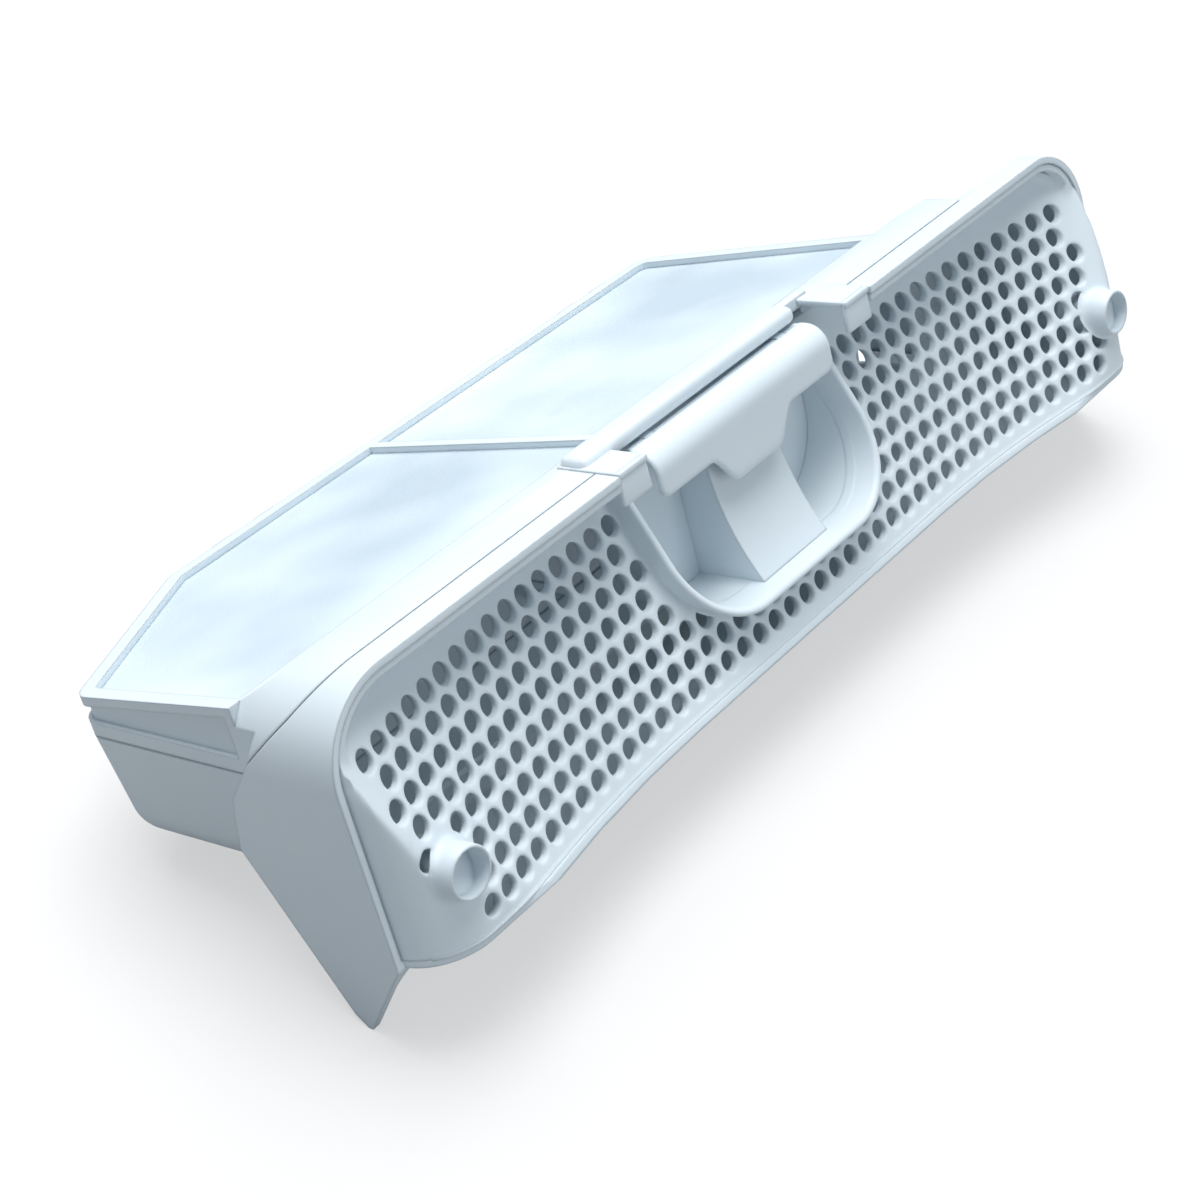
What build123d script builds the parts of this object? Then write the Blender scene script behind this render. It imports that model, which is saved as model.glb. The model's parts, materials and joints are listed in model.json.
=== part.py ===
from build123d import *
import math
import os

# Tumble dryer lint filter: a perforated front, a case with two mesh windows above and two
# below, a lid that folds up on a hinge at the back, and a finger flap that works its latch.
# The drawing frame has X along the front, Y to the back and Z up, with Y = 0 at the front
# rim and Z = 0 at the level of the two guide sockets. At the end everything is tipped back
# about X, because the filter stands on its two front tips and the back of its tub.

# Walls and fits
wall = 2.0
seat_gap = 0.3
pin_clearance = 0.05
edge_round = 0.6

# Front housing, seen from the front
front_width = 340.0
rim_top = 48.0
corner_radius = 23.0
lip_bottom = -24.0
tip_z = -45.5
tip_width = 2.2
tip_land = 1.5
flare_radius = 8.0

# Front housing, seen from the side
tip_y = 17.0
heel_y = 21.9
heel_z = -42.3
bulge_y = 43.9
bulge_low_z = 1.4
bulge_mid_y = 41.5
bulge_mid_z = 11.5
bulge_top_y = 39.7
bulge_top_z = 16.8
shoulder_y = 30.0
shoulder_z = 28.0
brow_y = 16.0
brow_z = 40.0
rim_depth = 8.0

# Curved front of the grille: flat in the middle, swept forward to both ends
front_flat = 60.0
sweep_radius = 340.0
sweep_chords = 5
face_slope = 0.42
face_y = 2.9
cheek_radius = 17.0
cheek_front_y = -14.0

# Holes of the grille: rows a triangle's height apart, every second one set half a pitch aside
hole_pitch = 7.3
hole_size = 5.7
hole_sides = 6
row_pitch = hole_pitch * math.sin(math.radians(60))
rows_above = 4
rows_below = 3
middle_row_z = 2.7
left_hole_reach = 159.5
right_hole_reach = 156.0
low_hole_reach = 148.5

# Guide sockets
socket_x = 153.0
socket_z = -2.9
socket_bore = 14.0
socket_wall = 1.2
socket_front_y = -16.2
socket_back_y = 0.0

# Handle opening, its collar and the well behind it
collar_half_width = 46.0
collar_bottom = -8.0
collar_corner = 24.0
collar_wall = 2.2
collar_height = 7.5
collar_depth = 10.5
well_top = 34.0
well_depth = 3.0
tongue_half_width = 15.0
tongue_wall = 2.0
tongue_top = 34.0
tongue_back_y = 9.5
tongue_belly_y = 6.0
tongue_belly_z = 9.0
tongue_foot_y = -1.0

# Case with the tub below and the lid above
case_left = -167.0
case_right = 106.0
case_front = 24.0
case_back = 127.0
case_chamfer_x = 60.0
case_chamfer_y = 33.0
case_corner = 7.0
seam_z = 22.5
seam_gap = 0.5
tub_bottom = -12.0
tub_draft = 6.0
tub_round = 12.0
air_port_margin = 5.0
port_low_z = 0.0

# Lid
lid_front_z = 41.5
lid_back_z = 30.0
lid_slope_front = 33.0
hoop_back_y = 20.5
hoop_right = 118.0
bead_height = 4.5
bead_depth = 1.4
frame_side = 4.5
window_front = 34.0
rib_x = -28.0
rib_width = 3.4
mesh_thickness = 0.6
mesh_lap = 1.2

# Windows in the tub's floor
floor_frame = 17.0

# Latch flap
bay_half_width = 57.0
bay_depth = 7.0
flap_half_width = 39.5
flap_top_z = 45.0
flap_front_y = 3.8
flap_low_z = 32.0
flap_thickness = 2.0
flap_bend = 6.0
flap_corner = 3.0
tab_half_width = 17.0
tab_low_z = 22.0
tab_taper = 3.0
tab_corner = 7.0
flap_pin_diameter = 2.0
flap_pin_y = 13.0
flap_pin_z = 41.2
flap_lug_width = 4.0
flap_lug_x = 30.0
flap_open_angle = 30.0
ridge_half_width = 50.0
ridge_height = 1.2
hook_half_span = 51.5
hook_width = 9.0
hook_low_z = 38.5
hook_front_y = 6.0
hook_thickness = 2.0

# Hinge at the back
hinge_pin_diameter = 2.4
hinge_pin_length = 26.0
hinge_barrel = 6.0
hinge_knuckle = 8.0
hinge_left_x = -88.0
hinge_right_x = 66.0
lid_open_angle = 110.0

half_front = front_width / 2
far = 400.0
lip_top = lip_bottom + wall
hinge_y = case_back + hinge_barrel / 2 + seat_gap
hinge_z = seam_z
flap_barrel = flap_top_z - flap_pin_z
well_back_y = face_y + face_slope * well_top + collar_depth - collar_height + well_depth
lid_slope = (lid_front_z - lid_back_z) / (case_back - lid_slope_front)


def along_x(face):
    """A profile drawn in Y and Z, carried right through along X."""
    return extrude(face, far, both=True)


def along_y(face):
    """A profile drawn in X and Z, carried right through along Y."""
    return extrude(face, far, both=True)


def side_face(points):
    return Plane.YZ * make_face(Polyline(*points, close=True))


def front_face(points):
    return Plane.XZ * make_face(Polyline(*points, close=True))


def plan_face(points):
    return make_face(Polyline(*points, close=True))


def mirrored(points):
    """Points of the right half, followed by their mirror images back to the start."""
    return points + [(-x, z) for x, z in reversed(points)]


def block(x0, x1, y0, y1, z0, z1):
    centre = Pos((x0 + x1) / 2, (y0 + y1) / 2, (z0 + z1) / 2)
    return centre * Box(x1 - x0, y1 - y0, z1 - z0)


def round_corners(face, corners, radius):
    """Round the corners of a flat outline that lie at the given points."""
    chosen = [v for v in face.vertices() for x, z in corners
              if abs(v.X - x) < 0.01 and abs(v.Z - z) < 0.01]
    return fillet(chosen, radius)


def front_prism(inset):
    """Outline of the housing from the front: straight top, lip below, a tip at each end."""
    w = half_front - inset
    top = rim_top - inset
    low = lip_bottom + inset
    if inset:
        return along_y(round_corners(front_face([(w, top), (w, low), (-w, low), (-w, top)]),
                                     [(w, top), (-w, top)], corner_radius - inset))
    root = w - tip_width
    face = front_face(mirrored([(w, top), (w, tip_z), (root, tip_z), (root, low)]))
    face = round_corners(face, [(root, low), (-root, low)], flare_radius)
    return along_y(round_corners(face, [(w, top), (-w, top)], corner_radius))


def rear_line(shift):
    """The housing's rear edge, from the heel of the tip up to the rim's back."""
    return [(heel_y - shift, heel_z), (bulge_y - shift, bulge_low_z), (bulge_mid_y - shift, bulge_mid_z),
            (bulge_top_y - shift, bulge_top_z), (shoulder_y - shift, shoulder_z),
            (brow_y - shift, brow_z), (rim_depth - shift, rim_top)]


def housing_side_prism(shift):
    """Side outline: open to the front above the lip, sloping down to the tip below it."""
    front = [(rim_depth - shift, rim_top + 1), (-far, rim_top + 1), (-far, lip_bottom), (0, lip_bottom)]
    return along_x(side_face(front + [(tip_y, tip_z), (tip_y + tip_land, tip_z)] + rear_line(shift)))


def swept_front(half, y_start):
    """Plan of the grille: a flat middle and, to each side, chords of one large arc."""
    right = []
    for step in range(sweep_chords + 1):
        x = front_flat + (half - front_flat) * step / sweep_chords
        right.append((x, y_start - sweep_radius + math.sqrt(sweep_radius ** 2 - (x - front_flat) ** 2)))
    return [(-x, y) for x, y in reversed(right)] + right


def behind_front(shift):
    """Everything behind the sloping face of the grille, moved back by a distance."""
    start = face_y + shift + face_slope * tip_z
    front = swept_front(half_front + 5, start)
    face = plan_face(front + [(half_front + 5, start + 150), (-half_front - 5, start + 150)])
    return Pos(0, 0, tip_z) * extrude(face, rim_top - tip_z + 10, dir=(0, face_slope, 1))


def cheek_prism(inset):
    """Plan outline whose front corners are rounded back to the side walls."""
    w = half_front - wall - inset
    front = cheek_front_y + inset
    face = plan_face([(-w, front), (w, front), (w, far), (-w, far)])
    corners = [v for v in face.vertices() if v.Y < 0]
    return extrude(fillet(corners, cheek_radius - inset), far, both=True)


def case_outline(inset):
    """Plan of the case: a rectangle with its back left corner cut off."""
    i = inset
    slant = math.hypot(case_chamfer_x, case_chamfer_y)
    points = [
        (case_left + i, case_front), (case_right - i, case_front), (case_right - i, case_back - i),
        (case_left + case_chamfer_x + i * (slant - case_chamfer_x) / case_chamfer_y, case_back - i),
        (case_left + i, case_back - case_chamfer_y - i * (slant - case_chamfer_y) / case_chamfer_x),
    ]
    face = plan_face(points)
    back = [v for v in face.vertices() if v.Y > case_front + 10]
    return fillet(back, max(case_corner - i, 1.0))


def tub_solid(inset):
    """Tub under the seam, with drafted walls and a rounded foot."""
    depth = seam_z - tub_bottom - inset
    solid = extrude(Pos(0, 0, seam_z) * case_outline(inset), -depth, taper=tub_draft)
    foot = [e for e in solid.edges() if abs(e.center().Z - (tub_bottom + inset)) < 0.01
            and e.center().Y > case_front + 5]
    return fillet(foot, tub_round - inset)


def hinge_barrels(start, count, up):
    """Barrels along a hinge line with their webs to the case wall, above or below the axis."""
    barrels = Part()
    for index in range(count):
        x0 = start + 2 * index * (hinge_knuckle + seat_gap)
        barrel = Pos(x0 + hinge_knuckle / 2, hinge_y, hinge_z) * Rot(Y=90)
        barrels += barrel * Cylinder(hinge_barrel / 2, hinge_knuckle)
        low, high = (seam_z + seam_gap, hinge_z + hinge_barrel) if up else (hinge_z - hinge_barrel, seam_z)
        barrels += block(x0, x0 + hinge_knuckle, case_back - wall / 2, hinge_y, low, high)
    return barrels


def hinge_bore(clearance):
    radius = hinge_pin_diameter / 2 + clearance
    return Pos(0, hinge_y, hinge_z) * Rot(Y=90) * Cylinder(radius, far)


def floor_windows(grow):
    """The two windows in the tub's floor, seen from above."""
    area = extrude(case_outline(floor_frame - grow), far, both=True)
    area &= block(-far, far, bulge_y + floor_frame - grow, far, -far, far)
    return area - block(rib_x - rib_width + grow, rib_x + rib_width - grow, -far, far, -far, far)


def port_span():
    """Width of the way from the housing into the case."""
    return case_left + wall + air_port_margin, case_right - wall - air_port_margin


def panel_cover():
    """Room for the top of the grille under the lid's front band."""
    return hoop_profile(wall + seat_gap) + block(-far, far, -far, hoop_back_y, -far, far) \
        + block(-far, far, -far, far, -far, seam_z)


def filter_body():
    """Front housing, its tips and the tub: one moulding."""
    lip = behind_front(0) & cheek_prism(seat_gap) & block(-far, far, -far, far, lip_bottom, lip_top)
    reach = block(-far, far, 0, far, -far, far) + lip
    housing = front_prism(0) & housing_side_prism(0) & reach
    housing -= front_prism(wall) & housing_side_prism(wall)
    hollow = tub_solid(wall) + block(case_left + wall, case_right - wall, case_front, bulge_y + wall,
                                     port_low_z, seam_z + 1)
    port = block(*port_span(), rim_depth + edge_round, bulge_y, port_low_z, rim_top + 1) & front_prism(wall)
    body = housing + tub_solid(0) - hollow - port
    body -= block(-bay_half_width, bay_half_width, -far, far, rim_top - bay_depth, rim_top + 1)
    body -= floor_windows(0) & block(-far, far, 0, far, tub_bottom - 1, tub_bottom + wall + 1)
    for start in (hinge_left_x, hinge_right_x):
        body += hinge_barrels(start + hinge_knuckle + seat_gap, 1, False)
    return body - hinge_bore(0)


def hole_places():
    """Centres of the grille's holes, kept off the sockets and the handle opening."""
    places = []
    columns = int(left_hole_reach / hole_pitch) + 1
    for row in range(-rows_above, rows_below + 1):
        z = middle_row_z - row_pitch * row
        aside = hole_pitch / 4 * (-1 if row % 2 else 1)
        left = left_hole_reach if z > socket_z else low_hole_reach
        right = right_hole_reach if z > socket_z else low_hole_reach
        for column in range(-columns, columns + 1):
            x = hole_pitch * column + aside
            by_socket = math.hypot(abs(x) - socket_x, z - socket_z) < socket_bore / 2
            if -left < x < right and not by_socket and not in_opening(x, z):
                places.append((x, z))
    return places


def in_opening(x, z):
    """Whether a point of the front lies within the outline of the handle's collar."""
    aside = max(abs(x) - (collar_half_width - collar_corner), 0)
    below = max(collar_bottom + collar_corner - z, 0)
    return math.hypot(aside, below) < collar_corner


def opening_prism(grow, top):
    """The D-shaped handle opening seen from the front, grown by a distance."""
    w = collar_half_width + grow
    low = collar_bottom - grow
    face = front_face([(-w, top), (w, top), (w, low), (-w, low)])
    face = round_corners(face, [(w, low), (-w, low)], collar_corner + grow)
    return along_y(face)


def grille_panel():
    """Perforated front with its rim, cheeks, collar round the handle opening and two sockets."""
    half = half_front - wall - seat_gap
    low = lip_top
    high = rim_top - wall
    rim = front_face([(-half, low), (half, low), (half, high), (-half, high)])
    rim = along_y(round_corners(rim, [(half, high), (-half, high)], corner_radius - wall - seat_gap))
    inner = front_face([(-half + wall, low - 1), (half - wall, low - 1), (half - wall, high - wall),
                        (-half + wall, high - wall)])
    inner = along_y(round_corners(inner, [(half - wall, high - wall), (-half + wall, high - wall)],
                                  corner_radius - 2 * wall - seat_gap))
    cheeks = cheek_prism(seat_gap)
    inner_cheeks = cheek_prism(seat_gap + wall)
    face = behind_front(0)
    face_back = behind_front(wall)
    sheet = (face - face_back) & cheeks & rim
    edge = (rim - inner) - face_back & block(-far, far, 0, rim_depth + collar_depth, low, high)
    cheek = (cheeks - inner_cheeks) & face & rim & block(-far, far, -far, wall, low, high)
    panel = sheet + edge + cheek
    foot = face - behind_front(3 * wall)
    panel += foot & cheeks & rim & block(-far, far, -far, far, low, low + edge_round)
    hole = along_y(Plane.XZ * RegularPolygon(hole_size / 2, hole_sides, major_radius=False))
    panel -= [Pos(x, 0, z) * hole for x, z in hole_places()]
    collar = behind_front(-collar_height) - behind_front(collar_depth - collar_height)
    panel += opening_prism(0, tongue_top + 2) & collar
    for side in (-1, 1):
        socket = Pos(side * socket_x, (socket_front_y + socket_back_y) / 2, socket_z) * Rot(X=90)
        length = socket_back_y - socket_front_y
        panel += socket * Cylinder(socket_bore / 2 + socket_wall, length)
        panel -= socket * Cylinder(socket_bore / 2, length + 20)
    panel -= opening_prism(-collar_wall, rim_top + 5)
    panel -= block(-bay_half_width, bay_half_width, -far, far, rim_top - bay_depth, rim_top + 1)
    room = block(*port_span(), -far, far, -far, rim_top - wall - 2 * seat_gap) & panel_cover()
    return panel & (room + housing_side_prism(wall + seat_gap))


def handle_pocket():
    """Finger well behind the handle opening, with the tongue that the thumb pushes against."""
    back = behind_front(collar_depth - collar_height)
    back &= block(-far, far, -far, well_back_y, -far, tongue_top + wall)
    well = opening_prism(0, tongue_top + wall) & back
    hollow = opening_prism(-collar_wall, rim_top)
    well -= hollow & block(-far, far, -far, well_back_y - wall, -far, far)
    floor = collar_bottom + collar_wall
    front = ThreePointArc((tongue_foot_y, floor), (tongue_belly_y, tongue_belly_z),
                          (tongue_back_y, tongue_top))
    rest = Polyline((tongue_back_y, tongue_top), (well_back_y - wall, tongue_top),
                    (well_back_y - wall, floor), (tongue_foot_y, floor))
    outline = make_face(Curve() + [front, rest])
    tongue = extrude(Plane.YZ * outline, tongue_half_width, both=True)
    core = offset(outline, -tongue_wall)
    return well + (tongue - extrude(Plane.YZ * core, tongue_half_width - tongue_wall, both=True))


def lid_top(drop):
    """Everything under the lid's sloping top, lowered by a distance."""
    front = case_front - 10
    low = lid_front_z - drop
    rise, fall = lid_slope * (lid_slope_front - front), lid_slope * (far - lid_slope_front)
    points = [(front, low + rise), (far, low - fall), (far, -far), (front, -far)]
    return along_x(side_face(points))


def lid_volume(inset):
    """Outer or inner form of the lid: the sloping plate and the raised hoop in front of it."""
    plate = extrude(Pos(0, 0, seam_z) * case_outline(inset), rim_top) & lid_top(inset)
    plate &= front_prism(inset) + block(-far, far, lid_slope_front + inset, far, -far, far)
    hoop = hoop_profile(inset) & front_prism(inset) & block(-far, hoop_right - inset, -far, far, -far, far)
    shoulder = [(0, rim_top + 1), (hoop_back_y - inset, rim_top + 1), (hoop_back_y - inset, rim_top),
                (shoulder_y - inset, shoulder_z), (shoulder_y - inset, seam_z), (0, seam_z)]
    side = along_x(side_face(shoulder)) + block(case_left + inset, far, -far, far, -far, far)
    return plate + (hoop & side)


def hoop_profile(inset):
    """The band behind the rim: level at first, then sloping down to the lid's plate."""
    back = [(hoop_back_y, rim_top - inset), (lid_slope_front - inset, lid_front_z - inset),
            (lid_slope_front - inset, seam_z)]
    return along_x(side_face([(0, seam_z), (0, rim_top - inset)] + back))


def lid_windows(grow):
    area = extrude(case_outline(frame_side - grow), far, both=True)
    area &= block(-far, far, window_front - grow, far, seam_z, far)
    return area - block(rib_x - rib_width / 2 + grow, rib_x + rib_width / 2 - grow, -far, far, -far, far)


def pin_at(y, z, diameter, length):
    return Pos(0, y, z) * Rot(Y=90) * Cylinder(diameter / 2, length)


def flap_slots(gap):
    slots = Part()
    for side in (-1, 1):
        x = side * flap_lug_x
        half = flap_lug_width / 2 + gap
        slots += block(x - half, x + half, flap_pin_y - flap_barrel - gap, flap_pin_y + 10,
                       flap_pin_z - flap_barrel - 1, flap_top_z + 1)
    return slots


def lid_frame():
    """Lid: sloping frame round two windows, front hoop, ridge, hooks and hinge barrels."""
    lid = lid_volume(0) - (lid_volume(wall) + block(-far, far, -far, far, -far, seam_z + seam_gap))
    lid -= housing_side_prism(-seat_gap)
    lid -= lid_windows(0)
    ring = extrude(case_outline(-5), far, both=True) - extrude(case_outline(bead_depth), far, both=True)
    recess = ring & lid_top(2 * bead_depth) & block(-far, far, lid_slope_front + 3, far,
                                                   seam_z + bead_height, far)
    lid -= recess
    bay_back = flap_pin_y + flap_barrel + seat_gap
    lid -= block(-bay_half_width, bay_half_width, -far, bay_back, -far, far)
    ridge = block(-ridge_half_width, ridge_half_width, bay_back, hoop_back_y, rim_top - wall,
                  rim_top + ridge_height)
    lid += ridge
    for side in (-1, 1):
        x = side * hook_half_span
        left, right = x - hook_width / 2, x + hook_width / 2
        lid += block(left, right, hook_front_y, bay_back + 1, rim_top - wall - 2, rim_top - 2)
        lid += block(left, right, hook_front_y, hook_front_y + hook_thickness, hook_low_z, rim_top - 2)
        lug = side * flap_lug_x
        half = flap_lug_width / 2
        lid += Pos(lug, 0, 0) * pin_at(flap_pin_y, flap_pin_z, 2 * flap_barrel, flap_lug_width)
        lid += block(lug - half, lug + half, flap_pin_y, bay_back + 1, flap_pin_z - flap_barrel, flap_top_z)
        lid += block(lug - half, lug + half, bay_back, bay_back + wall, flap_pin_z - flap_barrel, rim_top)
    lid -= pin_at(flap_pin_y, flap_pin_z, flap_pin_diameter, 2 * flap_lug_x + 20)
    for start in (hinge_left_x, hinge_right_x):
        lid += hinge_barrels(start, 2, True)
    return lid - hinge_bore(pin_clearance)


def bend_line(depth):
    """Side line of the flap, from its pin over the bend and down to the end of the tab."""
    top, front = flap_top_z - depth, flap_front_y + depth
    centre_y, centre_z, radius = flap_front_y + flap_bend, flap_top_z - flap_bend, flap_bend - depth
    aside = radius * math.sqrt(0.5)
    return [Line((flap_pin_y, top), (centre_y, top)),
            ThreePointArc((centre_y, top), (centre_y - aside, centre_z + aside), (front, centre_z)),
            Line((front, centre_z), (front, tab_low_z))]


def latch_flap():
    """Finger flap: a bent plate with a tab, turning on a pin along its back edge."""
    ends = [Line((flap_pin_y, flap_top_z), (flap_pin_y, flap_top_z - flap_thickness)),
            Line((flap_front_y, tab_low_z), (flap_front_y + flap_thickness, tab_low_z))]
    side = make_face(Curve() + bend_line(0) + bend_line(flap_thickness) + ends)
    flap = extrude(Plane.YZ * side, flap_half_width, both=True)
    w, tab, tip = flap_half_width, tab_half_width, tab_half_width - tab_taper
    shape = front_face(mirrored([(w, flap_top_z + 1), (w, flap_low_z), (tab, flap_low_z), (tip, tab_low_z)]))
    shape = round_corners(shape, [(w, flap_low_z), (-w, flap_low_z), (tab, flap_low_z), (-tab, flap_low_z)],
                          flap_corner)
    flap &= along_y(round_corners(shape, [(tip, tab_low_z), (-tip, tab_low_z)], tab_corner))
    flap += pin_at(flap_pin_y, flap_pin_z, 2 * flap_barrel, 2 * flap_half_width)
    flap -= flap_slots(seat_gap)
    return flap - pin_at(flap_pin_y, flap_pin_z, flap_pin_diameter + 2 * pin_clearance, far)


def lid_mesh(side):
    """One mesh sheet, bonded under the lid frame behind a window."""
    sheet = lid_windows(mesh_lap) & lid_top(wall)
    sheet -= lid_top(wall + mesh_thickness)
    half = block(-far, rib_x, -far, far, -far, far) if side < 0 else block(rib_x, far, -far, far, -far, far)
    return sheet & half


def tub_mesh(side):
    """One mesh sheet, bonded on the tub's floor over a window."""
    base = tub_bottom + wall
    sheet = floor_windows(mesh_lap) & block(-far, far, -far, far, base, base + mesh_thickness)
    half = block(-far, rib_x, -far, far, -far, far) if side < 0 else block(rib_x, far, -far, far, -far, far)
    return sheet & half


def hinge_pin(start):
    return Pos(start + 1.5 * hinge_knuckle + seat_gap, 0, 0) * pin_at(
        hinge_y, hinge_z, hinge_pin_diameter, hinge_pin_length)


def lean_angle():
    """How far the part leans back, standing on its front tips and the rounded back of its tub."""
    centre_y = case_back - (seam_z - tub_bottom) * math.tan(math.radians(tub_draft)) - tub_round
    centre_z = tub_bottom + tub_round
    reach = math.hypot(centre_y - tip_y, centre_z - tip_z)
    return math.degrees(math.atan2(centre_z - tip_z, centre_y - tip_y) - math.asin(tub_round / reach))


pieces = {
    "filter_body": filter_body(),
    "grille_panel": grille_panel(),
    "handle_pocket": handle_pocket(),
    "lid_frame": lid_frame(),
    "lid_mesh_left": lid_mesh(-1),
    "lid_mesh_right": lid_mesh(1),
    "tub_mesh_left": tub_mesh(-1),
    "tub_mesh_right": tub_mesh(1),
    "latch_flap": latch_flap(),
    "latch_pin": pin_at(flap_pin_y, flap_pin_z, flap_pin_diameter, 2 * flap_half_width),
    "hinge_pin_left": hinge_pin(hinge_left_x),
    "hinge_pin_right": hinge_pin(hinge_right_x),
}

# Stand the part on the table, with its origin under the middle of its bounding box
leaned = {name: Rot(X=-lean_angle()) * piece for name, piece in pieces.items()}
boxes = [piece.bounding_box() for piece in leaned.values()]
middle_y = (min(box.min.Y for box in boxes) + max(box.max.Y for box in boxes)) / 2
table_z = min(box.min.Z for box in boxes)

os.makedirs("parts", exist_ok=True)
for name, piece in leaned.items():
    export_step(Pos(0, -middle_y, -table_z) * piece, f"parts/{name}.step")
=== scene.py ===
import json
import math

import bmesh
import bpy
import numpy as np
from mathutils import Matrix, Vector
from mathutils.geometry import delaunay_2d_cdt


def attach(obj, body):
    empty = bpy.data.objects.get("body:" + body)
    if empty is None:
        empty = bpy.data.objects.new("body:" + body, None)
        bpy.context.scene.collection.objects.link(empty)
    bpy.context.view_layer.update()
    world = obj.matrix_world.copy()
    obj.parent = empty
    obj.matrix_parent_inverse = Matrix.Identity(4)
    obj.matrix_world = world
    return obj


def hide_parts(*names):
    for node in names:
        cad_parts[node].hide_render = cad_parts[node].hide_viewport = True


# Lengths are in metres. Shapes are drawn in the filter's own frame: X along the front, Y to the
# back, Z up, with the guide sockets at Z = -2.9 mm. The record's sockets say how it leans.
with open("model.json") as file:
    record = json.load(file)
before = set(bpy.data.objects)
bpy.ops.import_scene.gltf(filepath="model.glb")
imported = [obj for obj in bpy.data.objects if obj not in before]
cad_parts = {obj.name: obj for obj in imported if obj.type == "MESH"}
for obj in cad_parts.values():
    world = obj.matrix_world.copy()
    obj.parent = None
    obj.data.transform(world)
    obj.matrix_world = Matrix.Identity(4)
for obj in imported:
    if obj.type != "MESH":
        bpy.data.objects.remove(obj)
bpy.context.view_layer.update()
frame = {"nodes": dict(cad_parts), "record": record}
scene = bpy.context.scene
mounts = {mount["name"]: mount for mount in frame["record"]["mounts"]}
mm = 0.001

guide = dict(x=153 * mm, middleY=-8.1 * mm, z=-2.9 * mm, front=-16.2 * mm, back=1.0 * mm, bore=5.9 * mm,
             wall=0.9 * mm, nose=0.45 * mm, noseOut=0.3, noseIn=0.2, flare=1.6 * mm, foot=2.6 * mm,
             segments=40, footSteps=6)


def slotFrameFromSockets():
    left, right = (Vector(mounts["guide_socket_" + side]["pos_m"]) for side in ("left", "right"))
    alongX = (right - left).normalized()
    alongY = -Vector(mounts["guide_socket_left"]["axis"])
    alongZ = alongX.cross(alongY)
    matrix = Matrix((alongX, alongY, alongZ)).transposed().to_4x4()
    matrix.translation = (left + right) / 2 - alongY * guide["middleY"] - alongZ * guide["z"]
    return matrix


slotFrame = slotFrameFromSockets()
intoSlot = slotFrame.inverted()


# A number socket with operators that add Math nodes.
class Value:
    def __init__(self, tree, socket):
        self.tree, self.socket = tree, socket

    def math(self, operation, *values):
        return self.tree.value("ShaderNodeMath", {"operation": operation}, dict(enumerate(values)))

    def __add__(self, other):
        return self.math("ADD", self, other)

    def __sub__(self, other):
        return self.math("SUBTRACT", self, other)

    def __rsub__(self, other):
        return self.math("SUBTRACT", other, self)

    def __mul__(self, other):
        return self.math("MULTIPLY", self, other)

    __radd__ = __add__
    __rmul__ = __mul__


# Adds nodes to a material's or a geometry tree and links their sockets.
class Tree:
    def __init__(self, tree):
        self.nodes, self.links = tree.nodes, tree.links

    # A node of a kind, with its settings, then its sockets' values or links; gives one output.
    def node(self, kind, settings, values, output=0):
        made = self.nodes.new(kind)
        for key, value in settings.items():
            setattr(made, key, value)
        for key, value in values.items():
            self.feed(made.inputs[key], value)
        return made.outputs[output] if made.outputs else made

    def feed(self, target, value):
        if isinstance(value, Value):
            value = value.socket
        if isinstance(value, bpy.types.NodeSocket):
            self.links.new(value, target)
        else:
            target.default_value = value

    def value(self, kind, settings, values, output=0):
        return Value(self, self.node(kind, settings, values, output))


# A new material's tree, with the patterns that the finishes share.
class Finish(Tree):
    def __init__(self, name):
        self.material = bpy.data.materials.new(name)
        self.material.use_nodes = True
        super().__init__(self.material.node_tree)
        self.shader = self.nodes["Principled BSDF"]

    def paint(self, name, value):
        self.feed(self.shader.inputs[name], value)

    def place(self):
        return self.node("ShaderNodeTexCoord", {}, {}, "Object")

    def noise(self, scale, detail=3.0):
        values = {"Vector": self.place(), "Scale": scale, "Detail": detail}
        return self.value("ShaderNodeTexNoise", {}, values)

    def span(self, value, low, high):
        return self.value("ShaderNodeMapRange", {}, {"Value": value, "From Min": low, "From Max": high})

    # Inputs 6 and 7 and output 2 of a Mix node are its colours.
    def mix(self, factor, first, second):
        first, second = ((*tone, 1) if isinstance(tone, tuple) else tone for tone in (first, second))
        return self.node("ShaderNodeMix", {"data_type": "RGBA"}, {0: factor, 6: first, 7: second}, 2)

    # Relief of a height, over a normal that is rounded at the edges where a radius is given.
    def bump(self, height, distance, strength, edge=None):
        values = {"Height": height, "Distance": distance, "Strength": strength}
        if edge:
            values["Normal"] = self.node("ShaderNodeBevel", {"samples": 4}, {"Radius": edge})
        self.paint("Normal", self.node("ShaderNodeBump", {}, values))


plastic = dict(color=(0.74, 0.815, 0.86), shade=(0.69, 0.775, 0.825), roughness=0.36, spread=0.08,
               cloudScale=14.0, cloudFrom=0.3, cloudTo=0.7, grainScale=1400.0, grainDetail=2.0,
               grainHeight=0.00002, grainStrength=0.35, edge=0.0011)


# Satin white moulding with a faint grain and slow changes of tone.
def plasticMaterial():
    finish = Finish("whitePlastic")
    cloud = finish.span(finish.noise(plastic["cloudScale"]), plastic["cloudFrom"], plastic["cloudTo"])
    grain = finish.noise(plastic["grainScale"], plastic["grainDetail"])
    finish.paint("Base Color", finish.mix(cloud, plastic["shade"], plastic["color"]))
    finish.paint("Roughness", cloud * plastic["spread"] + plastic["roughness"])
    finish.bump(grain, plastic["grainHeight"], plastic["grainStrength"], plastic["edge"])
    return finish.material


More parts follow.
